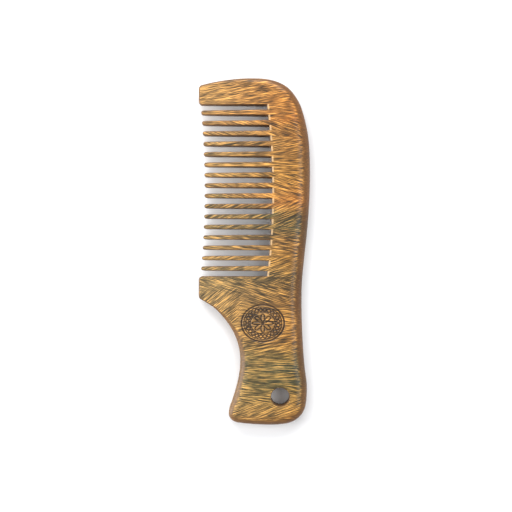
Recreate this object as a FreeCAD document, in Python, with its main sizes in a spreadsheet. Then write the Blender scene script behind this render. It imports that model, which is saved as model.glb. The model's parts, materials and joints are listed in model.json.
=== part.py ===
"""Handled beard comb, sawn from one board of oiled sandalwood, as an assembly of its named regions.

The comb lies flat on Z = 0. X runs across it, from the tips of the teeth to the spine.
Y runs along it, from the butt of the handle to the head. Z is the board's thickness.
The origin is under the middle of the bounding box.
"""
import FreeCAD, Part
import math
import os
import sys

import Sketcher
from FreeCAD import Vector

doc = FreeCAD.newDocument("beard_comb")

# ---- driving dimensions: millimetres, except the count and the two shares ----
SIZES = {
    # board
    "overall_length": (174.0, "head to butt, along Y"),
    "overall_width": (56.0, "guard tips to the crest of the spine, along X"),
    "board_thickness": (11.0, "spine and handle"),
    "tip_thickness": (5.0, "at the guard tips, where both faces have sloped in"),
    "slope_inset": (12.0, "crest of the spine to the line where the slope starts"),
    "slope_runout": (40.0, "length below the last slot over which the slope dies out"),
    "spine_round": (4.5, "round-over along the spine"),
    "guard_round": (1.2, "round-over at the guard tips"),
    # row of teeth
    "tooth_count": (16, "teeth between the two guards"),
    "tooth_pitch": (5.22, "tooth to tooth"),
    "tooth_width": (2.6, "at the root"),
    "tooth_nose_width": (2.2, "where the rounded nose starts"),
    "nose_length": (2.4, "rounded end of a tooth"),
    "tooth_length": (34.0, "middle tooth, root to tip"),
    "tip_setback": (2.9, "middle tooth's tip, inside the guard tips"),
    "root_arc_radius": (350.0, "line of the slot ends, bowed towards the spine"),
    "tip_arc_radius": (450.0, "line of the tooth tips, bowed the same way"),
    "stub_length": (1.5, "slot end to where a tooth is split off from the back"),
    # guards
    "head_guard_width": (13.3, "first slot to the crown of the head"),
    "heel_guard_width": (11.0, "last slot to the finger curve, at the guard's tip"),
    "guard_corner": (1.9, "corner of a guard beside its slot, in plan"),
    "head_tip_height": (5.4, "head to where the guard's end starts to turn into its top"),
    "head_tip_drop": (3.3, "head to where that turn ends"),
    "head_tip_reach": (1.5, "how far in from the guard's end it ends"),
    "heel_tip_rise": (1.35, "finger curve's line to where the guard's end starts to turn"),
    "heel_tip_drop": (0.6, "finger curve's line to where that turn ends"),
    "heel_tip_reach": (1.1, "how far in from the guard's end it ends"),
    # spine, from the head down: insets are from the crest line
    "crown_offset": (-0.5, "crown of the head, from the middle of the width"),
    "head_corner_inset": (9.9, "where the head's corner faces half up"),
    "head_corner_drop": (5.8, "head to that point"),
    "brow_inset": (1.6, "where the corner runs out into the spine"),
    "brow_drop": (24.8, "head to that point"),
    "crest_drop": (47.0, "head to the crest of the spine"),
    "fall_inset": (2.1, "where the spine leans in most"),
    "fall_rise": (16.6, "last slot to that point"),
    "spine_hollow": (4.3, "hollow of the spine, beside the heel guard"),
    # handle: heights are from the butt
    "handle_lead": (2.4, "heel guard's tip to the line where the handle is split off"),
    "grip_inset": (2.8, "spine side beside the waist, from the crest line"),
    "waist_gap": (3.0, "spine side that the waist is measured from, from the crest line"),
    "waist_width": (32.2, "handle at its narrowest"),
    "waist_share": (0.49, "waist's place down the handle"),
    "shoulder_inset": (4.1, "where the finger curve starts, from the guard's end"),
    "shoulder_drop": (2.3, "heel guard's tip to that point"),
    "curve_share": (0.64, "finger curve's middle, from the shoulder to the waist across"),
    "curve_drop": (0.2, "finger curve's middle, as a share of the handle down"),
    "neck_inset": (3.6, "waist to where the butt flares most"),
    "neck_height": (13.5, "butt to that point"),
    "butt_width": (39.35, "handle at its widest"),
    "butt_inset": (1.6, "widest part of the butt, from the crest line"),
    "butt_height": (18.0, "butt to that point"),
    "butt_corner_inset": (5.4, "where the butt's corner faces half down, from the crest line"),
    "butt_corner_height": (3.9, "butt to that point"),
    "butt_low_inset": (20.0, "lowest point of the butt, from the crest line"),
    "toe_height": (5.7, "butt to the widest point of its other corner"),
    "toe_reach": (4.65, "that corner's width"),
    "toe_rise": (1.1, "butt to where that corner starts"),
    # hanging hole
    "hole_diameter": (9.3, "hanging hole"),
    "hole_height": (14.25, "butt to the hole's centre"),
    "hole_inset": (15.1, "crest line to the hole's centre"),
}

dims = doc.addObject("Spreadsheet::Sheet", "dims")
for row, (alias, (number, note)) in enumerate(SIZES.items(), start=1):
    dims.set(f"A{row}", alias)
    dims.set(f"B{row}", str(number))
    dims.set(f"C{row}", note)
    dims.setAlias(f"B{row}", alias)
doc.recompute()

# ---- places worked out from the sheet, as expressions that the objects are bound to ----
TOP = "dims.overall_length / 2"
BUTT = "-dims.overall_length / 2"
CREST = "dims.overall_width / 2"
TIPS = "-dims.overall_width / 2"
SLOT = "(dims.tooth_pitch - dims.tooth_width)"
ROW_TOP = f"({TOP} - dims.head_guard_width)"
ROW_LENGTH = f"(dims.tooth_count * dims.tooth_pitch + {SLOT})"
ROW_BOTTOM = f"({ROW_TOP} - {ROW_LENGTH})"
ROW_MIDDLE = f"({ROW_TOP} - {ROW_LENGTH} / 2)"
HEEL = f"({ROW_BOTTOM} - dims.heel_guard_width)"
SPLIT = f"({HEEL} - dims.handle_lead)"
GRIP = f"({HEEL} - {BUTT})"
MID_TIP = f"({TIPS} + dims.tip_setback)"
MID_ROOT = f"({MID_TIP} + dims.tooth_length)"
SLOPE_LINE = f"({CREST} - dims.slope_inset)"
SLOPE_DROP = "((dims.board_thickness - dims.tip_thickness) / 2)"
SHOULDER = f"({TIPS} + dims.shoulder_inset)"
WAIST = f"({CREST} - dims.waist_gap - dims.waist_width)"
BUTT_SIDE = f"({CREST} - dims.butt_inset - dims.butt_width)"
MARGIN = "5"


def value(expression):
    """Number that an expression on the sheet gives now."""
    return float(dims.evalExpression(expression))


def heading_vector(degrees):
    return Vector(math.cos(math.radians(degrees)), math.sin(math.radians(degrees)), 0)


def arc_from(start, tangent, end):
    """Curve that leaves start along tangent and reaches end: a line where it needn't bend."""
    chord = end - start
    side = Vector(-tangent.y, tangent.x, 0)
    offset = chord.dot(side)
    if abs(offset) < 1e-6:
        return Part.LineSegment(start, end)
    radius = chord.dot(chord) / (2 * offset)
    centre = start + side * radius
    middle = centre + ((start + end) * 0.5 - centre).normalize() * abs(radius)
    if radius > 0:
        return Part.Arc(start, middle, end)
    return Part.Arc(end, middle, start)


def tangent_arcs(start, start_heading, end, end_heading):
    """Two arcs that leave start and reach end on the given headings, tangent where they meet."""
    leave = heading_vector(start_heading)
    arrive = heading_vector(end_heading)
    chord = end - start
    if abs(chord.cross(leave).z) < 1e-6 and abs(chord.cross(arrive).z) < 1e-6:
        return [Part.LineSegment(start, end)]
    both = leave + arrive
    spread = 2 * (1 - leave.dot(arrive))
    if spread < 1e-9:
        reach = chord.dot(chord) / (4 * chord.dot(arrive))
    else:
        along = chord.dot(both)
        reach = (math.sqrt(along * along + spread * chord.dot(chord)) - along) / spread
    first_corner = start + leave * reach
    second_corner = end - arrive * reach
    joint = (first_corner + second_corner) * 0.5
    turn = (second_corner - first_corner).normalize()
    return [arc_from(start, leave, joint), arc_from(joint, turn, end)]


def end_at(curve, point):
    """Which end of a sketch curve lies at point: 1 is its start, 2 its end."""
    return 1 if curve.StartPoint.distanceToPoint(point) < curve.EndPoint.distanceToPoint(point) else 2


def draw_outline(sketch, stations):
    """Closed outline through stations of (x, y, heading), x and y being expressions.

    Between two stations that both have a heading the outline is tangent arcs, otherwise a line.
    """
    points = [Vector(value(x), value(y), 0) for x, y, _ in stations]
    drawn = []
    for index, (x, y, heading) in enumerate(stations):
        following = (index + 1) % len(stations)
        next_heading = stations[following][2]
        if heading is None or next_heading is None:
            curves = [Part.LineSegment(points[index], points[following])]
        else:
            curves = tangent_arcs(points[index], heading, points[following], next_heading)
        leaving = len(drawn)
        joint = points[index]
        for curve in curves:
            number = sketch.addGeometry(curve, False)
            first = end_at(curve, joint)
            joint = curve.EndPoint if first == 1 else curve.StartPoint
            drawn.append((number, first, 3 - first))
        bind_point(sketch, drawn[leaving][0], drawn[leaving][1], x, y)
    for index, (number, first, _) in enumerate(drawn):
        before, _, last = drawn[index - 1]
        kind = "Coincident" if bends(sketch, before, last, number, first) else "Tangent"
        sketch.addConstraint(Sketcher.Constraint(kind, before, last, number, first))


def tangent_at(curve, end):
    parameter = curve.FirstParameter if end == 1 else curve.LastParameter
    return Vector(*curve.tangent(parameter)[0])


def bends(sketch, before, last, number, first):
    """True where two curves of a sketch meet at a corner."""
    turn = tangent_at(sketch.Geometry[before], last).cross(tangent_at(sketch.Geometry[number], first))
    return turn.Length > 1e-4


def bind_point(sketch, curve, end, x, y):
    """Pin one end of a sketch curve to the expressions x and y."""
    for kind, expression in (("DistanceX", x), ("DistanceY", y)):
        constraint = Sketcher.Constraint(kind, -1, 1, curve, end, value(expression))
        number = sketch.addConstraint(constraint)
        sketch.setExpression(f"Constraints[{number}]", expression)


def padded(name, stations, length, plane="XY_Plane", both_ways=False):
    """Body with one sketch on an origin plane and one pad."""
    body = doc.addObject("PartDesign::Body", name)
    sketch = body.newObject("Sketcher::SketchObject", f"{name}_outline")
    support = next(item for item in body.Origin.OriginFeatures if item.Role == plane)
    sketch.AttachmentSupport = [(support, "")]
    sketch.MapMode = "FlatFace"
    draw_outline(sketch, stations)
    pad = body.newObject("PartDesign::Pad", f"{name}_pad")
    pad.Profile = sketch
    pad.Midplane = both_ways
    pad.setExpression("Length", length)
    sketch.Visibility = False
    return body


def boolean(kind, name, first, second):
    result = doc.addObject(f"Part::{kind}", name)
    result.Base = first
    result.Tool = second
    return result


# ---- the board, before its teeth are sawn ----
def board_outline():
    """Outline seen from above, clockwise from the crown of the head."""
    return [
        ("dims.crown_offset", TOP, 0),
        (f"{CREST} - dims.head_corner_inset", f"{TOP} - dims.head_corner_drop", -45),
        (f"{CREST} - dims.brow_inset", f"{TOP} - dims.brow_drop", -79),
        (CREST, f"{TOP} - dims.crest_drop", -90),
        (f"{CREST} - dims.fall_inset", f"{ROW_BOTTOM} + dims.fall_rise", -96.5),
        (f"{CREST} - dims.spine_hollow", HEEL, -90),
        (f"{CREST} - dims.grip_inset", f"{HEEL} - {GRIP} * (dims.waist_share + 0.04)", -84.5),
        (f"{CREST} - dims.butt_inset", f"{BUTT} + dims.butt_height", -90),
        (f"{CREST} - dims.butt_corner_inset", f"{BUTT} + dims.butt_corner_height", -135),
        (f"{CREST} - dims.butt_low_inset", BUTT, -180),
        (f"{BUTT_SIDE} + dims.toe_reach", f"{BUTT} + dims.toe_rise", -188),
        (BUTT_SIDE, f"{BUTT} + dims.toe_height", -270),
        (f"{WAIST} - dims.neck_inset", f"{BUTT} + dims.neck_height", -288.5),
        (WAIST, f"{HEEL} - {GRIP} * dims.waist_share", -270),
        (f"{SHOULDER} + ({WAIST} - {SHOULDER}) * dims.curve_share",
         f"{HEEL} - {GRIP} * dims.curve_drop", -235),
        (SHOULDER, f"{HEEL} - dims.shoulder_drop", -210),
        (f"{TIPS} + dims.heel_tip_reach", f"{HEEL} - dims.heel_tip_drop", -210),
        (TIPS, f"{HEEL} + dims.heel_tip_rise", -270),
        (TIPS, f"{TOP} - dims.head_tip_height", -270),
        (f"{TIPS} + dims.head_tip_reach", f"{TOP} - dims.head_tip_drop", -345.5),
    ]


def rounded_board():
    """Board with all its edges rounded over, more towards the spine than at the guard tips."""
    board = padded("board", board_outline(), "dims.board_thickness")
    doc.recompute()
    smallest = value("dims.guard_round")
    growth = value("dims.spine_round") - smallest
    reach = value(f"{SLOPE_LINE} - {TIPS}")
    left = value(TIPS)

    def radius_at(vertex):
        return smallest + growth * min(1, max(0, vertex.X - left) / reach)

    rims = []
    for number, edge in enumerate(board.Shape.Edges, start=1):
        if edge.BoundBox.ZLength < 1e-6:
            first, last = edge.Vertexes[0], edge.Vertexes[-1]
            rims.append((number, radius_at(first), radius_at(last)))
    rounded = doc.addObject("Part::Fillet", "rounded_board")
    rounded.Base = board
    rounded.Edges = rims
    return rounded


def slope_across():
    """Section across the board: full thickness at the spine, thinner at the tooth tips."""
    full, low, high = "dims.board_thickness", SLOPE_DROP, f"dims.board_thickness - {SLOPE_DROP}"
    section = [
        (f"{CREST} + {MARGIN}", "0", None),
        (SLOPE_LINE, "0", None),
        (TIPS, low, None),
        (TIPS, high, None),
        (SLOPE_LINE, full, None),
        (f"{CREST} + {MARGIN}", full, None),
    ]
    return padded("slope_across", section, f"dims.overall_length + 2 * {MARGIN}", "XZ_Plane", True)


def slope_along():
    """Section along the board: full thickness in the handle, thinner beside the teeth."""
    full, low, high = "dims.board_thickness", SLOPE_DROP, f"dims.board_thickness - {SLOPE_DROP}"
    runout = f"{ROW_BOTTOM} - dims.slope_runout"
    section = [
        (f"{BUTT} - {MARGIN}", "0", None),
        (runout, "0", None),
        (ROW_BOTTOM, low, None),
        (f"{TOP} + {MARGIN}", low, None),
        (f"{TOP} + {MARGIN}", high, None),
        (ROW_BOTTOM, high, None),
        (runout, full, None),
        (f"{BUTT} - {MARGIN}", full, None),
    ]
    return padded("slope_along", section, f"dims.overall_width + 2 * {MARGIN}", "YZ_Plane", True)


def shaped_board():
    """Rounded board with both faces sloped in towards the tooth tips."""
    slopes = boolean("Fuse", "slopes", slope_across(), slope_along())
    return boolean("Common", "shaped_board", rounded_board(), slopes)


# ---- the row of teeth ----
def slot_middle(slot):
    """Height of a slot's middle. Slot 0 is beside the head guard, the last beside the heel guard."""
    return f"({ROW_TOP} - {SLOT} / 2 - dims.tooth_pitch * {slot})"


def bowed(middle_x, radius, y):
    """Where a line bowed towards the spine, farthest over at the middle of the row, crosses y."""
    return f"({middle_x} - {radius} + sqrt({radius} ^ 2 - ({y} - {ROW_MIDDLE}) ^ 2))"


def slot_end(slot):
    return bowed(MID_ROOT, "dims.root_arc_radius", slot_middle(slot))


def body_zone():
    """Everything but the teeth: the handle, the two guards and the back, with square slot ends."""
    corner = "dims.guard_corner"
    last_slot = int(value("dims.tooth_count"))
    outline = [
        (f"{CREST} + {MARGIN}", f"{TOP} + {MARGIN}", None),
        (f"{CREST} + {MARGIN}", f"{BUTT} - {MARGIN}", None),
        (TIPS, f"{BUTT} - {MARGIN}", None),
        (TIPS, f"{ROW_BOTTOM} - {corner}", 90),
        (f"{TIPS} + {corner}", ROW_BOTTOM, 0),
    ]
    for slot in range(last_slot, -1, -1):
        outline.append((slot_end(slot), f"{slot_middle(slot)} - {SLOT} / 2", None))
        outline.append((slot_end(slot), f"{slot_middle(slot)} + {SLOT} / 2", None))
    outline.append((f"{TIPS} + {corner}", ROW_TOP, 180))
    outline.append((TIPS, f"{ROW_TOP} + {corner}", 90))
    outline.append((TIPS, f"{TOP} + {MARGIN}", None))
    return padded("body_zone", outline, "dims.board_thickness")


def tooth_zone(number):
    """Tooth with flanks that narrow a little and a rounded nose, its root inside the body."""
    centre = f"({slot_middle(number)} + dims.tooth_pitch / 2)"
    tip = bowed(MID_TIP, "dims.tip_arc_radius", centre)
    nose = f"{tip} + dims.nose_length"
    root = f"{bowed(MID_ROOT, 'dims.root_arc_radius', centre)} + 1"
    outline = [
        (root, f"{centre} - dims.tooth_width / 2", None),
        (nose, f"{centre} - dims.tooth_nose_width / 2", 180),
        (tip, centre, 90),
        (nose, f"{centre} + dims.tooth_nose_width / 2", 0),
        (root, f"{centre} + dims.tooth_width / 2", None),
    ]
    return padded(f"tooth_zone_{number:02d}", outline, "dims.board_thickness")


def sawn_comb():
    """Shaped board with its slots sawn, still in one piece."""
    teeth = range(1, int(value("dims.tooth_count")) + 1)
    plan = doc.addObject("Part::MultiFuse", "plan")
    plan.Shapes = [body_zone()] + [tooth_zone(number) for number in teeth]
    plan.Refine = True
    return boolean("Common", "sawn_comb", shaped_board(), plan)


# ---- the regions that the comb is split into ----
def back_cell():
    """Spine side of the comb, split from the teeth and guards a little short of the slot ends."""
    last_slot = int(value("dims.tooth_count"))
    edge = [(f"{slot_end(slot)} - dims.stub_length", slot_middle(slot)) for slot in range(last_slot + 1)]
    outline = [
        (f"{CREST} + {MARGIN}", f"{TOP} + {MARGIN}", None),
        (f"{CREST} + {MARGIN}", SPLIT, None),
        (edge[-1][0], SPLIT, None),
    ]
    outline += [(x, y, None) for x, y in reversed(edge)]
    outline.append((edge[0][0], f"{TOP} + {MARGIN}", None))
    return padded("back_cell", outline, "dims.board_thickness")


def cell(name, bottom, top):
    """Box across the whole width, between two heights along the comb."""
    box = doc.addObject("Part::Box", name)
    box.setExpression("Length", f"dims.overall_width + 2 * {MARGIN}")
    box.setExpression("Width", f"({top}) - ({bottom})")
    box.setExpression("Height", "dims.board_thickness")
    box.setExpression("Placement.Base.x", f"{TIPS} - {MARGIN}")
    box.setExpression("Placement.Base.y", bottom)
    return box


def hang_hole():
    hole = doc.addObject("Part::Cylinder", "hang_hole")
    hole.setExpression("Radius", "dims.hole_diameter / 2")
    hole.setExpression("Height", f"dims.board_thickness + 2 * {MARGIN}")
    hole.setExpression("Placement.Base.x", f"{CREST} - dims.hole_inset")
    hole.setExpression("Placement.Base.y", f"{BUTT} + dims.hole_height")
    hole.setExpression("Placement.Base.z", f"-{MARGIN}")
    return hole


def build():
    """All the comb's regions, each an object labelled with its own name."""
    comb = sawn_comb()
    spine_side = back_cell()
    toothed_side = boolean("Cut", "toothed_side", comb, spine_side)
    handle_blank = boolean("Common", "handle_blank", comb, cell("handle_cell", f"{BUTT} - {MARGIN}", SPLIT))
    regions = [
        boolean("Common", "back", comb, spine_side),
        boolean("Cut", "handle", handle_blank, hang_hole()),
    ]
    last = int(value("dims.tooth_count"))
    heights = {"head_guard": (slot_middle(0), f"{TOP} + {MARGIN}"), "heel_guard": (SPLIT, slot_middle(last))}
    for number in range(1, last + 1):
        heights[f"tooth_{number:02d}"] = (slot_middle(number), slot_middle(number - 1))
    for name, (bottom, top) in heights.items():
        regions.append(boolean("Common", name, toothed_side, cell(f"{name}_cell", bottom, top)))
    for region in regions:
        region.Label = region.Name
    return regions


def check(regions):
    """Stop if anything in the document failed, or a region isn't one sound solid."""
    for item in doc.Objects:
        if "Invalid" in item.State or "Error" in item.State:
            sys.exit(f"{item.Label} failed: {item.State}")
    for region in regions:
        shape = region.Shape
        if shape.isNull() or not shape.isValid() or len(shape.Solids) != 1:
            sys.exit(f"{region.Label} is not one valid solid")


subparts = build()
doc.recompute()
check(subparts)
os.makedirs("parts", exist_ok=True)
for subpart in subparts:
    subpart.Shape.exportStep(f"parts/{subpart.Label}.step")
    print(f"{subpart.Label}: {subpart.Shape.Volume:.1f} mm3")
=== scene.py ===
import json
from math import atan2, cos, hypot, radians, sin

import bpy
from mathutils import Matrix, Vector, kdtree


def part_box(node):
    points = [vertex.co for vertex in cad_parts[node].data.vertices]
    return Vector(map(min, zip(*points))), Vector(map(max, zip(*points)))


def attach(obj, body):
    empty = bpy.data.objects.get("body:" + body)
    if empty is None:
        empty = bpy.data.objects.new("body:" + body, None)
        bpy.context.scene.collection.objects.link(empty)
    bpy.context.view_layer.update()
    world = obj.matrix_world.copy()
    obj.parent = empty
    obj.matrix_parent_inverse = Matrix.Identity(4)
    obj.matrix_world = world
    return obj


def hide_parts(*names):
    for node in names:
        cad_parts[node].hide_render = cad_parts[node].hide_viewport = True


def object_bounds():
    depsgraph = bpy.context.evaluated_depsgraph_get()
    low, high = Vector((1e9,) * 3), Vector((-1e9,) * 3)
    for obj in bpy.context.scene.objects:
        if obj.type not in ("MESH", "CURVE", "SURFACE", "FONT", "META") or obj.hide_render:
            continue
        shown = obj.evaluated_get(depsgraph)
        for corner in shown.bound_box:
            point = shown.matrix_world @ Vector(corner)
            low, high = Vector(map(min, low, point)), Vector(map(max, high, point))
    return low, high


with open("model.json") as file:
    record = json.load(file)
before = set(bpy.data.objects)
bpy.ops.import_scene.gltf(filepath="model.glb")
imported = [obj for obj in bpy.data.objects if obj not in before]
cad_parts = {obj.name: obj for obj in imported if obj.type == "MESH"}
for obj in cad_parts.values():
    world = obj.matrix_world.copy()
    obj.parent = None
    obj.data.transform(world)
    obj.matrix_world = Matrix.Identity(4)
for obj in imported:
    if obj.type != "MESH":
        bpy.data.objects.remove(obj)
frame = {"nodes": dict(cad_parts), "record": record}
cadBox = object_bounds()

mm = 0.001
cutMerge = 1e-7      # metres, points this near a cut are taken to lie on it

# The comb is one board. It is built whole, so that its rounded edges and its grain run on
# from region to region, and is then parted along the lines between the frame's nodes.


def selectOnly(piece):
    if bpy.context.object and bpy.context.object.mode != "OBJECT":
        bpy.ops.object.mode_set(mode="OBJECT")
    bpy.ops.object.select_all(action="DESELECT")
    piece.select_set(True)
    bpy.context.view_layer.objects.active = piece


def editWhole(piece):
    selectOnly(piece)
    bpy.ops.object.mode_set(mode="EDIT")
    bpy.ops.mesh.select_mode(type="VERT")
    bpy.ops.mesh.select_all(action="SELECT")


def cutAcross(place, normal, fill=False, dropBehind=False, dropAhead=False):
    bpy.ops.mesh.select_all(action="SELECT")
    bpy.ops.mesh.bisect(plane_co=place, plane_no=normal, use_fill=fill,
                        clear_inner=dropBehind, clear_outer=dropAhead, threshold=cutMerge)


def clearPicks(mesh):
    for group in (mesh.vertices, mesh.edges, mesh.polygons):
        group.foreach_set("select", [False] * len(group))


def selectFaces(piece, test):
    # leaves edit mode to mark the faces, then goes back in
    bpy.ops.object.mode_set(mode="OBJECT")
    clearPicks(piece.data)
    for face in piece.data.polygons:
        face.select = test(face)
    bpy.ops.object.mode_set(mode="EDIT")
    bpy.ops.mesh.select_mode(type="FACE")


def edgeUses(mesh):
    # how many faces share each edge
    uses = {}
    for face in mesh.polygons:
        for key in face.edge_keys:
            uses[key] = uses.get(key, 0) + 1
    return uses


def blendStep(value, start, end):
    share = min(max((value - start) / (end - start), 0.0), 1.0)
    return share * share * (3 - 2 * share)


def between(first, last, share):
    return first + (last - first) * share


# plan: the outline of every region, laid flat
planCuts = {
    "weldGap": 0.0015,      # mm, points of one corner
    "clear": 0.013,         # mm, the cut passes just above the points halfway up the walls
    "straightTurn": 0.2,    # degrees, outline points that don't turn are dropped
    "onLine": 0.01,         # mm, an edge this near a line lies on it
    "atCorner": 0.02,       # mm, a point this near a corner belongs to it
}

boardFloor, boardTop = (corner[2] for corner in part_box("handle"))
boardThick = boardTop - boardFloor
middle = (boardFloor + boardTop) / 2
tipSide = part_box("head_guard")[0][0]        # where the guards end, on the teeth's side
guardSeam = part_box("heel_guard")[1][0]
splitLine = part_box("handle")[1][1]
holeMount = next(m for m in frame["record"]["mounts"] if m["name"] == "hang_hole")
holeX, holeY = holeMount["pos_m"][0], holeMount["pos_m"][1]


def onLine(mesh, edge, axis, place):
    near = planCuts["onLine"] * mm
    return all(abs(mesh.vertices[index].co[axis] - place) < near for index in edge.vertices)


def layPlan():
    sheets = []
    for name, node in frame["nodes"].items():
        sheet = node.copy()
        sheet.data = node.data.copy()
        sheet.parent = None
        bpy.context.collection.objects.link(sheet)
        sheet.data.materials.clear()
        bpy.context.view_layer.update()
        editWhole(sheet)
        bpy.ops.mesh.remove_doubles(threshold=planCuts["weldGap"] * mm)
        cutAcross((0, 0, middle + planCuts["clear"] * mm), (0, 0, 1),
                  fill=True, dropBehind=True, dropAhead=True)
        if name == "handle":
            # one cut gives the heel guard's corner its point, the other parts the ring round the hole
            cutAcross((guardSeam, 0, 0), (1, 0, 0))
            cutAcross((0, holeY, 0), (0, 1, 0))
            bpy.ops.object.mode_set(mode="OBJECT")
            for edge in sheet.data.edges:
                cuts = ((0, guardSeam), (1, holeY))
                edge.use_seam = any(onLine(sheet.data, edge, axis, place) for axis, place in cuts)
            bpy.ops.object.mode_set(mode="EDIT")
        bpy.ops.mesh.select_all(action="SELECT")
        bpy.ops.mesh.dissolve_limited(angle_limit=radians(planCuts["straightTurn"]), delimit={"SEAM"})
        bpy.ops.object.mode_set(mode="OBJECT")
        sheets.append(sheet)
    bpy.ops.object.select_all(action="DESELECT")
    for sheet in sheets:
        sheet.select_set(True)
    bpy.context.view_layer.objects.active = sheets[0]
    bpy.ops.object.join()
    plan = sheets[0]
    plan.name = "combBlank"
    editWhole(plan)
    bpy.ops.mesh.remove_doubles(threshold=planCuts["weldGap"] * mm)
    bpy.ops.mesh.normals_make_consistent(inside=False)
    bpy.ops.object.mode_set(mode="OBJECT")
    for edge in plan.data.edges:
        edge.use_seam = onLine(plan.data, edge, 1, holeY)
    editWhole(plan)
    bpy.ops.mesh.dissolve_limited(angle_limit=radians(planCuts["straightTurn"]), delimit={"SEAM"})
    bpy.ops.transform.translate(value=(0, 0, -middle - planCuts["clear"] * mm))
    bpy.ops.object.mode_set(mode="OBJECT")
    if sum(face.normal.z for face in plan.data.polygons) < 0:
        editWhole(plan)
        bpy.ops.mesh.flip_normals()
        bpy.ops.object.mode_set(mode="OBJECT")
    return plan


blank = layPlan()
print("plan laid:", len(blank.data.polygons), "faces,", len(blank.data.vertices), "points")

# slab with rounded edges
edgeRounds = {
    "steps": 8,
    "depthShare": 0.78,     # depth of a round-over against its reach
    # mm: reaches, of which the flank's runs along both sides of every slot
    "flank": 0.45, "slotEnd": 0.9, "nose": 0.8, "guardCorner": 1.0, "holeRim": 0.5,
    "border": 0.12,         # mm, narrow strip that keeps a flat face flat beside its round-over
    "borderFull": 2.0,      # mm, reach from which that strip has its full width
    "flatLeft": 0.02,       # mm, least upright wall on each side of the middle
    "holeZone": 5.5,        # mm from the middle of the hole, where only its rim lies
    "rowDepth": 10.0,       # mm across the comb, beyond the end of every slot
    "rowSlack": 0.02, "guardSide": 1.0,     # mm along the comb, at both ends of the row of teeth
    # mm across the comb: where a flank's reach grows into the nose's or the guard corner's
    "noseGrow": (21.0, 24.0), "cornerGrow": (24.0, 28.0),
    "cornerFade": 3.0,      # mm along a guard's tip, from its corner's reach to the outer edge's
    "squareTurn": 0.8,      # cosine, a sharper turn is the square end of a slot
    "smoothAngle": 50,      # degrees, a sharper edge stays sharp
    # mm: place on the outer edge, and reach of the round-over there
    "outer": [
        (-28.0, 78.0, 1.2), (-26.5, 83.7, 1.2), (-12.0, 86.4, 1.6), (4.0, 86.8, 2.7),
        (15.0, 83.6, 4.6), (22.0, 76.0, 6.2), (26.0, 64.0, 7.0), (28.0, 40.0, 7.0),
        (26.0, 5.0, 7.0), (24.0, -25.0, 6.8), (25.0, -55.0, 6.6), (26.4, -69.0, 6.0),
        (23.0, -82.0, 5.0), (8.0, -87.0, 4.4), (-8.0, -86.0, 4.2), (-14.0, -81.0, 4.2),
        (-10.5, -72.0, 5.0), (-7.2, -55.0, 5.2), (-9.7, -42.5, 4.4), (-14.0, -35.0, 3.0),
        (-19.0, -29.5, 1.8), (-24.0, -25.8, 1.1), (-27.5, -23.5, 0.95), (-28.0, -19.0, 1.1),
    ],
}
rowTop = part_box("head_guard")[0][1] / mm
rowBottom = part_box("heel_guard")[1][1] / mm


def roundReach(x, y):
    # mm: reach of the round-over at a place on the outline
    rounds = edgeRounds
    if hypot(x - holeX / mm, y - holeY / mm) < rounds["holeZone"]:
        return rounds["holeRim"]
    slack, side = rounds["rowSlack"], rounds["guardSide"]
    if rowBottom - slack < y < rowTop + slack and x < rounds["rowDepth"]:
        if rowBottom + side < y < rowTop - side:
            return between(rounds["flank"], rounds["nose"], blendStep(-x, *rounds["noseGrow"]))
        return between(rounds["flank"], rounds["guardCorner"], blendStep(-x, *rounds["cornerGrow"]))
    total = weight = 0.0
    for stationX, stationY, reach in rounds["outer"]:
        nearness = 1 / (hypot(x - stationX, y - stationY) ** 3 + 0.01)      # never divides by nought
        total += nearness * reach
        weight += nearness
    reach = total / weight
    besideRow = min(abs(y - rowTop), abs(y - rowBottom))
    if -x > rounds["cornerGrow"][0] and besideRow < rounds["cornerFade"]:
        reach = between(rounds["guardCorner"], reach, blendStep(besideRow, 0.0, rounds["cornerFade"]))
    return reach


def inwardReaches(plan):
    # for every point of the outline, how far and which way its round-over reaches in, in mm
    mesh = plan.data
    uses = edgeUses(mesh)
    following, before = {}, {}
    for face in mesh.polygons:
        corners = list(face.vertices)
        for first, last in zip(corners, corners[1:] + corners[:1]):
            if uses[(min(first, last), max(first, last))] == 1:
                following[first] = last
                before[last] = first
    reaches = []
    for index, nextIndex in following.items():
        spot = mesh.vertices[index].co.xy / mm
        arrive = (spot - mesh.vertices[before[index]].co.xy / mm).normalized()
        leave = (mesh.vertices[nextIndex].co.xy / mm - spot).normalized()
        inFirst, inSecond = Vector((-arrive.y, arrive.x)), Vector((-leave.y, leave.x))
        turn = inFirst.dot(inSecond)
        if turn < edgeRounds["squareTurn"]:
            # a slot's end, which faces across the comb, is rounded more than its sides
            reach = [edgeRounds["slotEnd" if abs(side.x) > abs(side.y) else "flank"]
                     for side in (inFirst, inSecond)]
            cross = inFirst.x * inSecond.y - inFirst.y * inSecond.x
            inward = Vector(((reach[0] * inSecond.y - reach[1] * inFirst.y) / cross,
                             (inFirst.x * reach[1] - inSecond.x * reach[0]) / cross))
            depth = edgeRounds["flank"]
        else:
            depth = roundReach(spot.x, spot.y)
            inward = (inFirst + inSecond).normalized() * depth / max(((1 + turn) / 2) ** 0.5, 0.5)
        reaches.append((spot, inward, depth))
    return reaches


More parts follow.
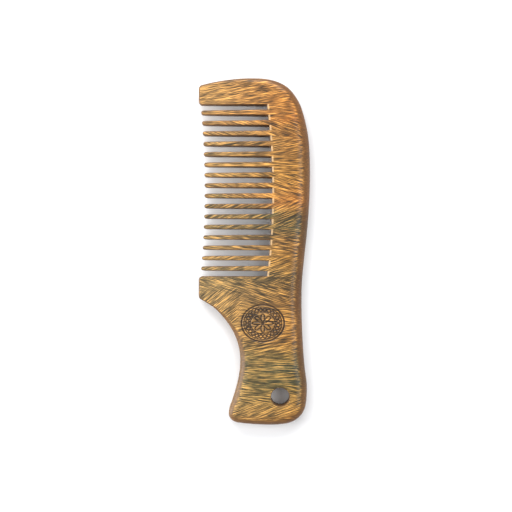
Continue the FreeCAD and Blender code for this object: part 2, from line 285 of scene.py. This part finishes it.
def raiseSlab(slab):
    # the upper half is drawn up in thin levels, which are then laid along the curve of the round-over
    reaches = inwardReaches(slab)
    outline = kdtree.KDTree(len(reaches))
    for index, (spot, _, _) in enumerate(reaches):
        outline.insert(spot.to_3d(), index)
    outline.balance()
    half = boardThick / 2 / mm
    levels = edgeRounds["steps"] + 2
    editWhole(slab)
    for level in range(levels):
        bpy.ops.mesh.extrude_region_move(TRANSFORM_OT_translate={"value": (0, 0, mm)})
    # the sheet that the levels were drawn from goes, or the mirror would shut it inside
    selectFaces(slab, lambda face: face.center.z < mm / 10)
    bpy.ops.mesh.delete(type="FACE")
    bpy.ops.object.mode_set(mode="OBJECT")
    rim = slab.data.attributes.new("rim", "FLOAT", "POINT")
    for vertex in slab.data.vertices:
        level = round(vertex.co.z / mm)
        x, y = vertex.co.x / mm, vertex.co.y / mm
        _, inward, reach = reaches[outline.find((x, y, 0))[1]]
        depth = min(reach * edgeRounds["depthShare"], half - edgeRounds["flatLeft"])
        turn = radians(90) * min(max(level - 1, 0) / edgeRounds["steps"], 1)
        share = 1 - cos(turn)
        if level == levels:
            share += edgeRounds["border"] * min(1, reach / edgeRounds["borderFull"]) / reach
        height = 0 if level == 0 else half - depth * (1 - sin(turn))
        rim.data[vertex.index].value = cos(turn)     # 1 on the side and 0 where the flat face starts
        vertex.co = Vector((x + inward.x * share, y + inward.y * share, height)) * mm
    mirror = slab.modifiers.new("underside", "MIRROR")
    mirror.use_axis = (False, False, True)
    mirror.merge_threshold = 0.001 * mm
    selectOnly(slab)
    bpy.ops.object.modifier_apply(modifier=mirror.name)


raiseSlab(blank)
print("slab rounded:", len(blank.data.polygons), "faces")

# both faces slope in towards the teeth
slopes = {
    "line": 16.0,       # mm, where the slope starts, across the comb
    "tipShare": 5 / 11,     # thickness left at the guard tips
    "soften": 0.08,     # share of the slope over which it sets in
    "dieTop": -12.44, "dieEnd": -52.44,     # mm, along the handle, where it dies out
    "step": 2.0,        # mm between cuts
    "fineStep": 1.0, "fineBefore": 7.0, "finePast": 2.6,    # mm between cuts close to the line, and how close
}


def slopeFaces(slab):
    start = slopes["line"]
    reach = start - tipSide / mm
    editWhole(slab)
    x = tipSide / mm + slopes["fineStep"]
    while x < start + slopes["finePast"]:
        cutAcross((x * mm, 0, 0), (1, 0, 0))
        x += slopes["step"] if x < start - slopes["fineBefore"] else slopes["fineStep"]
    y = slopes["dieEnd"] - slopes["step"]
    while y < slopes["dieTop"] + slopes["step"] + 0.1:      # one past the end, in spite of rounding
        cutAcross((0, y * mm, 0), (0, 1, 0))
        y += slopes["step"]
    bpy.ops.object.mode_set(mode="OBJECT")
    for vertex in slab.data.vertices:
        x, y = vertex.co.x / mm, vertex.co.y / mm
        along = max((start + slopes["soften"] * reach / 2 - x) / reach, 0.0)
        if along < slopes["soften"]:
            along = along * along / (2 * slopes["soften"])
        else:
            along -= slopes["soften"] / 2
        share = 1 - (1 - slopes["tipShare"]) * along * blendStep(y, slopes["dieEnd"], slopes["dieTop"])
        vertex.co.z *= share


slopeFaces(blank)
print("faces sloped:", len(blank.data.polygons), "faces")

# burnt ornament on the handle: an oval of plain rings, waves and petals
ornament = {
    "centre": (4.2, -35.9), "halfWidth": 11.2, "halfHeight": 9.6,   # mm
    "depth": 0.38,      # mm
    "stroke": 0.8,      # mm, width of the widest line
    "shore": 0.16,      # mm, width of the slope at a line's edge
    "cuts": 8,          # new points along each edge under it
    "margin": 1.3,      # mm of such cells round it
    # radii as shares of the half sizes, and widths as shares of the stroke
    "rings": [(0.955, 1.0), (0.845, 0.6), (0.555, 0.7)],
    "waves": 12, "waveRing": 0.695, "waveHeight": 0.085,
    "petals": 8, "petalStart": 0.13, "petalLength": 0.34,
    "curved": 0.8, "dot": 2.0,
    "upperFace": 2.0,   # mm above the middle, every point of the upper face is higher
    "level": 0.98,      # a face whose normal rises more than this is level
}


def strokeDepth(x, y):
    # 0 on the bare wood to 1 at the bottom of a line
    centreX, centreY = ornament["centre"]
    u = (x - centreX) / ornament["halfWidth"]
    v = (y - centreY) / ornament["halfHeight"]
    r, turn = hypot(u, v), atan2(v, u)
    size = (ornament["halfWidth"] + ornament["halfHeight"]) / 2
    waves, waveHeight, waveRing = ornament["waves"], ornament["waveHeight"], ornament["waveRing"]
    wave, waveSlope = waveHeight * sin(waves * turn), waveHeight * waves * cos(waves * turn)
    petals, petalLength = ornament["petals"] / 2, ornament["petalLength"]
    petal, petalSlope = petalLength * abs(cos(petals * turn)), petalLength * petals * sin(petals * turn)
    # each line: its radius here, how that changes with the turn, and its share of the stroke
    curved = ornament["curved"]
    lines = [(radius, 0, share) for radius, share in ornament["rings"]] + [
        (waveRing + wave, waveSlope, curved), (waveRing - wave, waveSlope, curved),
        (ornament["petalStart"] + petal, petalSlope, curved), (0, 0, ornament["dot"]),
    ]
    deepest = 0.0
    for radius, slope, share in lines:
        gap = abs(r - radius) / hypot(1, slope / max(r, 0.1))       # near the middle the slope means little
        edge = ornament["stroke"] / 2 * share - gap * size
        deepest = max(deepest, min(max(edge / ornament["shore"] + 0.5, 0.0), 1.0))
    return deepest


def engrave(slab):
    centreX, centreY = ornament["centre"]

    def underOrnament(face):
        spot = face.center / mm
        outside = hypot((spot.x - centreX) / (ornament["halfWidth"] + ornament["margin"]),
                        (spot.y - centreY) / (ornament["halfHeight"] + ornament["margin"]))
        return face.normal.z > ornament["level"] and outside < 1 and spot.y < splitLine / mm

    editWhole(slab)
    # many-sided cells beside the round-over are split first, since those don't subdivide inside
    selectFaces(slab, lambda face: len(face.vertices) > 4 and underOrnament(face))
    bpy.ops.mesh.quads_convert_to_tris()
    selectFaces(slab, underOrnament)
    bpy.ops.mesh.subdivide(number_cuts=ornament["cuts"], ngon=True)
    bpy.ops.object.mode_set(mode="OBJECT")
    burn = slab.data.attributes.new("burn", "FLOAT", "POINT")
    for vertex in slab.data.vertices:
        x, y = vertex.co.x / mm, vertex.co.y / mm
        if vertex.co.z > ornament["upperFace"] * mm and y < splitLine / mm - 0.05:     # clear of the seam
            depth = strokeDepth(x, y)
            burn.data[vertex.index].value = depth
            vertex.co.z -= depth * ornament["depth"] * mm


engrave(blank)
print("ornament cut:", len(blank.data.polygons), "faces")

# parting into the frame's regions
toothRow = {
    # mm, as in the frame: every tooth leaves the back a little short of the slots' ends
    "count": 16, "pitch": 5.22, "slotWidth": 2.62,
    "rootMiddleX": 8.9, "rootRadius": 350.0, "stub": 1.5,
}


def slotMiddle(slot):
    return rowTop - toothRow["slotWidth"] / 2 - toothRow["pitch"] * slot


def seamPoint(slot):
    y = slotMiddle(slot)
    rowMiddle = (rowTop + rowBottom) / 2
    radius = toothRow["rootRadius"]
    x = toothRow["rootMiddleX"] - radius + (radius ** 2 - (y - rowMiddle) ** 2) ** 0.5 - toothRow["stub"]
    return x, y


def regionAt(x, y):
    if y < splitLine / mm:
        return "handle"
    last = toothRow["count"]
    if y > slotMiddle(0) or y < slotMiddle(last):
        guard = "head_guard" if y > slotMiddle(0) else "heel_guard"
        return guard if x < guardSeam / mm else "back"
    for number in range(1, last + 1):
        if y > slotMiddle(number):
            (upperX, upperY), (lowerX, lowerY) = seamPoint(number - 1), seamPoint(number)
            seam = lowerX + (upperX - lowerX) * (y - lowerY) / (upperY - lowerY)
            return f"tooth_{number:02d}" if x < seam else "back"


def cutSeams(slab):
    editWhole(slab)
    cutAcross((0, splitLine, 0), (0, 1, 0))
    for slot in range(toothRow["count"] + 1):
        cutAcross((0, slotMiddle(slot) * mm, 0), (0, 1, 0))
    # each seam along the comb: where it starts and ends, its place across, and its lean
    spans = [
        (slotMiddle(0), cadBox[1][1] / mm, guardSeam / mm, 0.0),
        (splitLine / mm, slotMiddle(toothRow["count"]), guardSeam / mm, 0.0),
    ]
    for number in range(1, toothRow["count"] + 1):
        (upperX, upperY), (lowerX, lowerY) = seamPoint(number - 1), seamPoint(number)
        spans.append((lowerY, upperY, (lowerX + upperX) / 2, (upperX - lowerX) / (upperY - lowerY)))
    for bottom, top, x, lean in spans:
        y = (bottom + top) / 2
        selectFaces(slab, lambda face: bottom * mm < face.center.y < top * mm)
        bpy.ops.mesh.bisect(plane_co=(x * mm, y * mm, 0), plane_no=(1, -lean, 0), threshold=cutMerge)
    bpy.ops.object.mode_set(mode="OBJECT")


def closeSeams(piece, name):
    mesh = piece.data
    if name in ("back", "heel_guard"):
        # the two cuts of these pieces meet at a corner, which needs its own upright edge
        def atCorner(index):
            x, y, _ = mesh.vertices[index].co
            return hypot(x - guardSeam, y - splitLine) < planCuts["atCorner"] * mm

        selectOnly(piece)
        clearPicks(mesh)
        for vertex in mesh.vertices:
            vertex.select = atCorner(vertex.index)
        bpy.ops.object.mode_set(mode="EDIT")
        bpy.ops.mesh.select_mode(type="VERT")
        bpy.ops.mesh.edge_face_add()
        bpy.ops.object.mode_set(mode="OBJECT")
        loose = {key for key, count in edgeUses(mesh).items() if count == 1}
        clearPicks(mesh)
        for edge in mesh.edges:
            upright = all(atCorner(index) for index in edge.vertices)
            edge.select = upright or (edge.key in loose and onLine(mesh, edge, 1, splitLine))
        bpy.ops.object.mode_set(mode="EDIT")
        bpy.ops.mesh.select_mode(type="EDGE")
        bpy.ops.mesh.edge_face_add()
    editWhole(piece)
    bpy.ops.mesh.fill_holes(sides=0)
    bpy.ops.mesh.select_all(action="SELECT")
    bpy.ops.mesh.normals_make_consistent(inside=False)
    bpy.ops.object.mode_set(mode="OBJECT")
    bpy.ops.object.shade_smooth_by_angle(angle=radians(edgeRounds["smoothAngle"]))


def partBoard(slab):
    cutSeams(slab)
    names = list(frame["nodes"])
    slab.data.materials.clear()
    for name in names:
        slab.data.materials.append(bpy.data.materials.new(name))
    for face in slab.data.polygons:
        face.material_index = names.index(regionAt(face.center.x / mm, face.center.y / mm))
    editWhole(slab)
    bpy.ops.transform.translate(value=(0, 0, middle))
    bpy.ops.mesh.separate(type="MATERIAL")
    bpy.ops.object.mode_set(mode="OBJECT")
    parted = {}
    for piece in list(bpy.context.selected_objects):
        name = piece.data.materials[piece.data.polygons[0].material_index].name
        piece.name = "wood_" + name
        parted[name] = piece
    for name in names:
        # linked afresh in the frame's order, because separate leaves the pieces in any order
        bpy.context.collection.objects.unlink(parted[name])
        bpy.context.collection.objects.link(parted[name])
    bpy.context.view_layer.update()
    for name in names:
        closeSeams(parted[name], name)
    return {name: parted[name] for name in names}


regions = partBoard(blank)
faceCount = sum(len(piece.data.polygons) for piece in regions.values())
print("board parted:", len(regions), "pieces,", faceCount, "faces")


# finish
def toLinear(code):
    # hex sRGB to a linear colour
    channels = [int(code[i:i + 2], 16) / 255 for i in (1, 3, 5)]
    return tuple(c / 12.92 if c <= 0.04045 else ((c + 0.055) / 1.055) ** 2.4 for c in channels) + (1.0,)


def addNode(tree, kind, inputs=None, **settings):
    # an input is a value, a socket, or a node, which gives its first output in use
    node = tree.nodes.new(kind)
    for key, value in settings.items():
        setattr(node, key, value)
    for key, value in (inputs or {}).items():
        if isinstance(value, bpy.types.Node):
            value = next(socket for socket in value.outputs if socket.enabled)
        if isinstance(value, bpy.types.NodeSocket):
            tree.links.new(value, node.inputs[key])
        else:
            node.inputs[key].default_value = value
    return node


# Green sandalwood is hard and oily, with a feathery interlocked grain: ribbons that lean one way and
# then the other, gold to olive, with short fine streaks. Oiled and buffed, it shines softly.
sandalwood = {
    # mm along the comb: tone of the heartwood there
    "tones": [
        (-87, "#985C22"), (-80, "#8C642C"), (-66, "#605022"), (-52, "#5E4C20"), (-44, "#84581E"),
        (-34, "#8E6024"), (-24, "#684418"), (-10, "#443212"), (-4, "#8C6020"), (3, "#644016"),
        (9, "#4C3616"), (15, "#403214"), (20, "#6C4C1C"), (26, "#9C6022"), (38, "#906222"),
        (50, "#80541E"), (60, "#84541E"), (66, "#9A5C1C"), (76, "#9E6220"), (87, "#986028"),
    ],
    # mm along the comb, and lean of the streaks there in degrees
    "leans": [
        (-86, 0), (-77, 20), (-70, -8), (-59, 0), (-44, 12), (-31, -6), (-19, -17), (-8, 17),
        (4.5, -8), (19.5, 22), (34.5, -17), (44, 0), (54.5, 12), (60.5, -20), (71, 4), (80, 10),
    ],
    "rampEnd": 90.0,        # mm, tones and leans are looked up this far each way
    "mostLean": 45,         # degrees
    "lightStreak": "#E0A654", "oliveBand": "#45462C", "greyStreak": "#564E30", "burnt": "#26160A",
    # the cream beyond each slot's end is a painted highlight on its lit bevel
    # the pale tone is a painted sheen, paler towards the teeth
    # the rim's brown is partly oil and partly painted shade
    "rimOilAndShade": "#5C3816", "slotEndHighlight": "#EEC896", "paleSheenTone": "#988458",
    # length and width in mm, detail of the noise, and a shift that keeps the layers apart
    "streak": {"long": 8.0, "wide": 0.36, "detail": 2.0, "shift": 3.0},
    "fibre": {"long": 3.4, "wide": 0.28, "detail": 2.0, "shift": 17.0},
    "figure": {"long": 16.0, "wide": 2.4, "detail": 3.0, "shift": 29.0},
    "zoneShift": 40, "shoulderShift": 90,
    "wander": 7.0, "wanderScale": 0.045,        # mm that a zone's edge strays, and bends per mm
    # values of the noise from which a streak starts to show and at which it is full
    "lightSpan": (0.52, 0.66), "greySpan": (0.48, 0.38), "shadeSpan": (0.4, 0.6), "softSpan": (0.3, 0.7),
    "oliveSpan": (0.3, 0.6),
    # brightness against the tone, at the darkest and at the lightest
    "streakShade": (0.26, 1.6), "fibreShade": (0.68, 1.32), "figureShade": (0.8, 1.2),
    # most that each colour covers
    "lightShare": 0.45, "greyShare": 0.6, "paleSheenShare": 0.5, "oliveShare": 0.85,
    "rimOilAndShadeShare": 0.7, "highlightShare": 0.45, "burntShare": 0.9,
    # mm: middle, half width and soft edge of each band
    "heart": (19.2, 2.0, 6.5), "upperBand": (-56.0, 0.8, 2.6), "lowerBand": (-63.0, 0.8, 2.4),
    "heartLean": 0.33,      # mm down the comb for each mm across
    # mm: the heel guard's shoulder, where the streaks run steeply
    "shoulderAlong": (-27.0, 5.0, 6.0), "shoulderAcross": (-19.0, 8.0, 7.0), "shoulderLean": -38,
    "paleSheenSpan": (20.0, -22.0),       # mm across the comb, from no painted sheen to the most
    "rimSpan": (0.4, 0.62),         # rim attribute, from the bare face to the full rim
    "highlightStrip": 0.95, "highlightSoft": 0.1,     # mm, painted highlight on the lit bevel beyond the end of each slot, and its edge
    "polish": (0.28, 0.46), "rimPolish": 0.55, "burntPolish": 0.7,      # roughness
    "relief": 0.08,         # mm, height of the grain under the finger
}


def rampAlong(tree, height, stops, interpolation):
    # colour ramp along the comb: stops are (mm, colour)
    low, high = -sandalwood["rampEnd"], sandalwood["rampEnd"]
    fac = addNode(tree, "ShaderNodeMapRange", {"Value": height, "From Min": low, "From Max": high})
    ramp = addNode(tree, "ShaderNodeValToRGB", {"Fac": fac})
    ramp.color_ramp.interpolation = interpolation
    elements = ramp.color_ramp.elements
    for index, (place, colour) in enumerate(stops):
        share = (place - low) / (high - low)
        element = elements[index] if index < 2 else elements.new(share)     # a new ramp has two stops
        element.position = share
        element.color = colour
    return ramp


def leanRamp(tree, height, own):
    # lean of every second zone, changing under the other layer where that one covers it
    leans, most = sandalwood["leans"], sandalwood["mostLean"]
    stops = []
    for index in range(own, len(leans), 2):
        start = leans[index - 1][0] if index else -sandalwood["rampEnd"]
        grey = (leans[index][1] + most) / (2 * most)
        stops.append((start, (grey, grey, grey, 1)))
    colour = rampAlong(tree, height, stops, "CONSTANT")
    return addNode(tree, "ShaderNodeMapRange", {
        "Value": colour, "To Min": radians(most), "To Max": radians(-most)})


def bandShare(tree, value, centre, half, soft):
    # 1 within half of centre, falling to 0 over soft
    away = addNode(tree, "ShaderNodeMath", {0: value, 1: centre}, operation="SUBTRACT")
    gap = addNode(tree, "ShaderNodeMath", {0: away}, operation="ABSOLUTE")
    return addNode(tree, "ShaderNodeMapRange", {
        "Value": gap, "From Min": half + soft, "From Max": half}, interpolation_type="SMOOTHSTEP")


def leanZones(tree, x, y, wandered):
    # the leans of two layers, the share of the second, and the share of the shoulder's own lean
    wood = sandalwood
    turns = [leanRamp(tree, wandered, own) for own in (0, 1)]
    stops = [(at, (i % 2, i % 2, i % 2, 1)) for i, (at, _) in enumerate(wood["leans"])]
    fade = addNode(tree, "ShaderNodeMapRange", {
        "Value": rampAlong(tree, wandered, stops, "LINEAR"), "From Min": 0.25, "From Max": 0.75},
        interpolation_type="SMOOTHSTEP")
    along = bandShare(tree, y, *wood["shoulderAlong"])
    across = bandShare(tree, x, *wood["shoulderAcross"])
    shoulder = addNode(tree, "ShaderNodeMath", {0: along, 1: across}, operation="MULTIPLY")
    return turns, fade, shoulder


def streaks(tree, place, angle, grain, shift):
    shift += grain["shift"]
    wide = grain["wide"]
    turned = addNode(tree, "ShaderNodeVectorRotate", {
        "Vector": place, "Angle": angle}, rotation_type="Z_AXIS")
    stretched = addNode(tree, "ShaderNodeMapping", {
        "Vector": turned, "Location": (shift, shift * 0.7, 0),
        "Scale": (1 / grain["long"], 1 / wide, 1 / (wide * 3))})        # three times as deep as wide
    return addNode(tree, "ShaderNodeTexNoise", {
        "Vector": stretched, "Scale": 1.0, "Detail": grain["detail"], "Roughness": 0.55})


def grainLayer(tree, place, zones, grain):
    turns, fade, shoulder = zones
    shift = sandalwood["zoneShift"]
    even, odd = (streaks(tree, place, turn, grain, shift * i) for i, turn in enumerate(turns))
    both = addNode(tree, "ShaderNodeMix", {0: fade, 2: even, 3: odd}, data_type="FLOAT")
    steep = streaks(tree, place, radians(sandalwood["shoulderLean"]), grain, sandalwood["shoulderShift"])
    return addNode(tree, "ShaderNodeMix", {0: shoulder, 2: both, 3: steep}, data_type="FLOAT")


def boardTone(tree, x, y, wandered, figure):
    wood = sandalwood
    colour = rampAlong(tree, wandered, [(at, toLinear(tone)) for at, tone in wood["tones"]], "LINEAR")
    # painted sheen: paler towards the teeth
    none, most = wood["paleSheenSpan"]
    paleSheen = addNode(tree, "ShaderNodeMapRange", {
        "Value": x, "From Min": none, "From Max": most, "To Max": wood["paleSheenShare"]})
    colour = addNode(tree, "ShaderNodeMix", {
        0: paleSheen, 6: colour, 7: toLinear(wood["paleSheenTone"])}, data_type="RGBA")
    # dark olive heart streak that crosses the teeth and the back, and two bands on the handle
    heart = addNode(tree, "ShaderNodeMath", {0: x, 1: wood["heartLean"], 2: y}, operation="MULTIPLY_ADD")
    heart = bandShare(tree, heart, *wood["heart"])
    upper = bandShare(tree, wandered, *wood["upperBand"])
    lower = bandShare(tree, wandered, *wood["lowerBand"])
    bands = addNode(tree, "ShaderNodeMath", {0: upper, 1: lower}, operation="ADD")
    olive = addNode(tree, "ShaderNodeMath", {0: bands, 1: heart}, operation="MAXIMUM")
    low, high = wood["oliveSpan"]
    broken = addNode(tree, "ShaderNodeMapRange", {"Value": figure, "From Min": low, "From Max": high})
    olive = addNode(tree, "ShaderNodeMath", {0: olive, 1: broken}, operation="MULTIPLY")
    olive = addNode(tree, "ShaderNodeMath", {0: olive, 1: wood["oliveShare"]}, operation="MULTIPLY")
    return addNode(tree, "ShaderNodeMix", {
        0: olive, 6: colour, 7: toLinear(wood["oliveBand"])}, data_type="RGBA")


def streakColours(tree, colour, streak):
    # gold where the noise is high, grey-green where it is low
    for name in ("light", "grey"):
        low, high = sandalwood[name + "Span"]
        share = addNode(tree, "ShaderNodeMapRange", {
            "Value": streak, "From Min": low, "From Max": high, "To Max": sandalwood[name + "Share"]})
        tone = toLinear(sandalwood[name + "Streak"])
        colour = addNode(tree, "ShaderNodeMix", {0: share, 6: colour, 7: tone}, data_type="RGBA")
    return colour


def grainShade(tree, layers):
    # brightness of streaks, fibres and figure together; layers are (noise, span, shade)
    shade = None
    for noise, span, brightness in layers:
        (low, high), (darkest, lightest) = sandalwood[span], sandalwood[brightness]
        own = addNode(tree, "ShaderNodeMapRange", {
            "Value": noise, "From Min": low, "From Max": high, "To Min": darkest, "To Max": lightest})
        if shade is not None:
            own = addNode(tree, "ShaderNodeMath", {0: shade, 1: own}, operation="MULTIPLY")
        shade = own
    return shade


def litBevelShare(tree, x, y):
    # share of the painted highlight on the lit bevel beyond each slot's end: the ends lie on an arc, drawn
    # here as a parabola
    wood, rowMiddle = sandalwood, (rowTop + rowBottom) / 2
    soft = wood["highlightSoft"]
    lift = addNode(tree, "ShaderNodeMath", {0: y, 1: rowMiddle}, operation="SUBTRACT")
    lift = addNode(tree, "ShaderNodeMath", {0: lift, 1: 2.0}, operation="POWER")
    beyond = addNode(tree, "ShaderNodeMath", {
        0: lift, 1: 0.5 / toothRow["rootRadius"], 2: x}, operation="MULTIPLY_ADD")
    half = wood["highlightStrip"] / 2
    strip = bandShare(tree, beyond, toothRow["rootMiddleX"] + half + soft / 2, half - soft, soft)
    across = addNode(tree, "ShaderNodeMath", {0: y, 1: rowTop}, operation="SUBTRACT")
    across = addNode(tree, "ShaderNodeMath", {0: across, 1: -toothRow["pitch"], 2: 0.0}, operation="WRAP")
    inSlot = bandShare(tree, across, -toothRow["slotWidth"] / 2, toothRow["slotWidth"] / 2 - soft, 2 * soft)
    inRow = bandShare(tree, y, rowMiddle, (rowTop - rowBottom) / 2, soft)
    for share in (inSlot, inRow, wood["highlightShare"]):
        strip = addNode(tree, "ShaderNodeMath", {0: strip, 1: share}, operation="MULTIPLY")
    return strip


def makeSandalwood():
    material = bpy.data.materials.new("oiledGreenSandalwood")
    material.use_nodes = True
    tree = material.node_tree
    tree.nodes.clear()
    wood = sandalwood
    place = addNode(tree, "ShaderNodeTexCoord").outputs["Object"]
    place = addNode(tree, "ShaderNodeVectorMath", {0: place, "Scale": 1 / mm}, operation="SCALE")
    x, y, _ = addNode(tree, "ShaderNodeSeparateXYZ", {0: place}).outputs

    # zones wander a little across the comb
    wander = addNode(tree, "ShaderNodeTexNoise", {
        "Vector": place, "Scale": wood["wanderScale"], "Detail": 2.0, "Roughness": 0.5})
    wander = addNode(tree, "ShaderNodeMapRange", {
        "Value": wander, "To Min": -wood["wander"], "To Max": wood["wander"]})
    wandered = addNode(tree, "ShaderNodeMath", {0: y, 1: wander}, operation="ADD")

    zones = leanZones(tree, x, y, wandered)
    grains = (wood["streak"], wood["fibre"], wood["figure"])
    streak, fibre, figure = (grainLayer(tree, place, zones, grain) for grain in grains)
    colour = boardTone(tree, x, y, wandered, figure)
    colour = streakColours(tree, colour, streak)
    shade = grainShade(tree, [
        (streak, "shadeSpan", "streakShade"), (fibre, "softSpan", "fibreShade"),
        (figure, "softSpan", "figureShade"),
    ])

    # the rounded rim is burnished and has drunk more oil, and carries painted shade where it turns away from
    # the lamps: browner, with fainter streaks
    rim = addNode(tree, "ShaderNodeAttribute", attribute_name="rim").outputs["Fac"]
    bare, full = wood["rimSpan"]
    rim = addNode(tree, "ShaderNodeMapRange", {"Value": rim, "From Min": bare, "From Max": full},
                  interpolation_type="SMOOTHSTEP")
    # painted shade: the rim is darkened beyond its oil where it turns from the lamps
    plain = addNode(tree, "ShaderNodeMath", {0: rim, 1: wood["rimOilAndShadeShare"]}, operation="MULTIPLY")
    shade = addNode(tree, "ShaderNodeMix", {0: plain, 2: shade, 3: 1.0}, data_type="FLOAT")
    colour = addNode(tree, "ShaderNodeVectorMath", {0: colour, "Scale": shade}, operation="SCALE")

    burn = addNode(tree, "ShaderNodeAttribute", attribute_name="burn").outputs["Fac"]
    charred = addNode(tree, "ShaderNodeMath", {0: burn, 1: wood["burntShare"]}, operation="MULTIPLY")
    # the cream beyond each slot's end is a painted highlight
    covers = ((plain, "rimOilAndShade"), (litBevelShare(tree, x, y), "slotEndHighlight"), (charred, "burnt"))
    for share, name in covers:
        tone = toLinear(wood[name])
        colour = addNode(tree, "ShaderNodeMix", {0: share, 6: colour, 7: tone}, data_type="RGBA")

    smooth, rough = wood["polish"]
    roughness = addNode(tree, "ShaderNodeMapRange", {"Value": fibre, "To Min": smooth, "To Max": rough})
    for share, name in ((rim, "rimPolish"), (burn, "burntPolish")):
        roughness = addNode(tree, "ShaderNodeMix", {0: share, 2: roughness, 3: wood[name]}, data_type="FLOAT")
    relief = addNode(tree, "ShaderNodeMath", {0: fibre, 1: 0.5, 2: streak}, operation="MULTIPLY_ADD")
    bump = addNode(tree, "ShaderNodeBump", {
        "Height": relief, "Strength": 0.35, "Distance": wood["relief"] * mm})
    shader = addNode(tree, "ShaderNodeBsdfPrincipled", {
        "Base Color": colour, "Roughness": roughness, "IOR": 1.45, "Normal": bump,
        "Coat Weight": 0.1, "Coat Roughness": 0.4})
    addNode(tree, "ShaderNodeOutputMaterial", {"Surface": shader})
    return material


oiledWood = makeSandalwood()
for name, piece in regions.items():
    piece.data.materials.clear()
    piece.data.materials.append(oiledWood)
    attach(piece, "root")
    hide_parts(name)
for marker in list(bpy.data.materials):
    if marker.name in frame["nodes"]:
        bpy.data.materials.remove(marker)
print("wood oiled")

# floor, light and camera
studio = {
    "floorSize": 6.0,       # metres
    "floorTone": "#F4F5F7", "floorRoughness": 0.9, "floorShine": 0.1,
    "floorGap": 0.05,       # mm, keeps the floor from sharing the comb's lowest face
    "skyTone": "#FFFFFF", "skyStrength": 0.6,
    # metres: place, width and height of each softbox, and watts
    "softboxes": {
        "right": ((0.46, 0.0, 0.80), (0.5, 0.34), 2.0),
        "left": ((-0.40, 0.0, 0.85), (0.5, 0.34), 0.9),
        "low": ((-1.0, 0.03, 0.26), (0.4, 0.5), 11.0),
        "head": ((-0.1, 1.1, 0.90), (1.5, 0.7), 18.0),
    },
    "cameraPlace": (0.75, -2.25, 586.0), "cameraLens": 80.9, "cameraSensor": 36, "cameraNear": 10,    # mm
}


def makeStage():
    bpy.ops.mesh.primitive_plane_add(size=studio["floorSize"], location=(0, 0, -studio["floorGap"] * mm))
    floor = bpy.context.object
    floor.name = "floor"
    paper = bpy.data.materials.new("mattPaper")      # plain matt paper sweep
    paper.use_nodes = True
    shader = paper.node_tree.nodes["Principled BSDF"]
    shader.inputs["Base Color"].default_value = toLinear(studio["floorTone"])
    shader.inputs["Roughness"].default_value = studio["floorRoughness"]
    shader.inputs["Specular IOR Level"].default_value = studio["floorShine"]
    floor.data.materials.append(paper)

    world = bpy.data.worlds.new("softRoom")
    bpy.context.scene.world = world
    world.use_nodes = True
    sky = world.node_tree.nodes["Background"]
    sky.inputs["Color"].default_value = toLinear(studio["skyTone"])
    sky.inputs["Strength"].default_value = studio["skyStrength"]

    for name, (place, size, power) in studio["softboxes"].items():
        bpy.ops.object.light_add(type="AREA", location=place)
        light = bpy.context.object
        light.name = name + "Softbox"
        light.data.shape = "RECTANGLE"
        light.data.size, light.data.size_y = size
        light.data.energy = power
        light.rotation_euler = Vector(place).to_track_quat("Z", "Y").to_euler()     # faces the comb
        light.visible_camera = False

    bpy.ops.object.camera_add(location=[value * mm for value in studio["cameraPlace"]])
    camera = bpy.context.object
    camera.data.lens = studio["cameraLens"]
    camera.data.sensor_width = studio["cameraSensor"]
    camera.data.clip_start = studio["cameraNear"] * mm
    bpy.context.scene.camera = camera
    bpy.context.scene.view_settings.view_transform = "Standard"


makeStage()
print("stage set")
